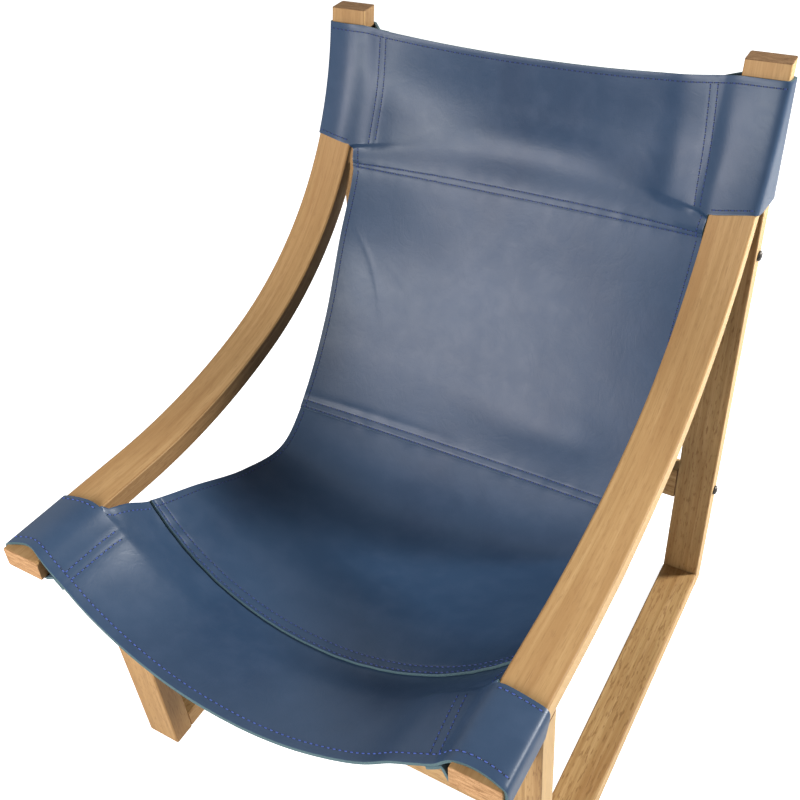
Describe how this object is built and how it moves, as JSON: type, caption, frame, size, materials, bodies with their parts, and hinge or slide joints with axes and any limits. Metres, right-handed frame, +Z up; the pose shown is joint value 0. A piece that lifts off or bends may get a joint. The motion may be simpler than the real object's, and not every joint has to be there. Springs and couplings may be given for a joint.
{
  "type": "lounge chair",
  "caption": "Low lounge chair with a stitched leather sling looped over two bent wooden side frames joined by bolted cross rails.",
  "frame": {"origin": "centre of the chair's outline on the floor", "axes": "+Z up, the chair faces -Y, +X is the right side frame as seen in a view along +Y"},
  "size_m": [0.6796, 0.8548, 0.9087],
  "materials": {
    "frame_wood": "satin oiled honey-brown hardwood with fine straight grain",
    "dowel_wood": "plain unfinished beech",
    "fastener_steel": "dark oxidised, satin",
    "sling_leather": "semi-gloss navy hide with fine grain and bare cut edges"
  },
  "bodies": {
    "root": {"arm_right": "frame_wood", "arm_left": "frame_wood", "front_leg_right": "frame_wood", "front_leg_left": "frame_wood", "rear_post_right": "frame_wood", "rear_post_left": "frame_wood", "floor_rail_right": "frame_wood", "floor_rail_left": "frame_wood", "upper_back_rail": "frame_wood", "upper_back_rail_bolt_right": "fastener_steel", "upper_back_rail_barrel_nut_right": "fastener_steel", "upper_back_rail_bolt_left": "fastener_steel", "upper_back_rail_barrel_nut_left": "fastener_steel", "lower_back_rail": "frame_wood", "lower_back_rail_bolt_right": "fastener_steel", "lower_back_rail_barrel_nut_right": "fastener_steel", "lower_back_rail_bolt_left": "fastener_steel", "lower_back_rail_barrel_nut_left": "fastener_steel", "front_cross_rail": "frame_wood", "front_cross_rail_bolt_right": "fastener_steel", "front_cross_rail_barrel_nut_right": "fastener_steel", "front_cross_rail_bolt_left": "fastener_steel", "front_cross_rail_barrel_nut_left": "fastener_steel", "leg_to_arm_dowel_inner_right": "dowel_wood", "leg_to_arm_dowel_inner_left": "dowel_wood", "leg_to_arm_dowel_outer_right": "dowel_wood", "leg_to_arm_dowel_outer_left": "dowel_wood", "front_foot_dowel_inner_right": "dowel_wood", "front_foot_dowel_inner_left": "dowel_wood", "front_foot_dowel_outer_right": "dowel_wood", "front_foot_dowel_outer_left": "dowel_wood", "rear_foot_dowel_inner_right": "dowel_wood", "rear_foot_dowel_inner_left": "dowel_wood", "rear_foot_dowel_outer_right": "dowel_wood", "rear_foot_dowel_outer_left": "dowel_wood", "post_to_arm_dowel_inner_right": "dowel_wood", "post_to_arm_dowel_inner_left": "dowel_wood", "post_to_arm_dowel_outer_right": "dowel_wood", "post_to_arm_dowel_outer_left": "dowel_wood", "head_panel": "sling_leather", "back_panel": "sling_leather", "seat_panel": "sling_leather", "front_panel": "sling_leather"}
  },
  "joints": []
}
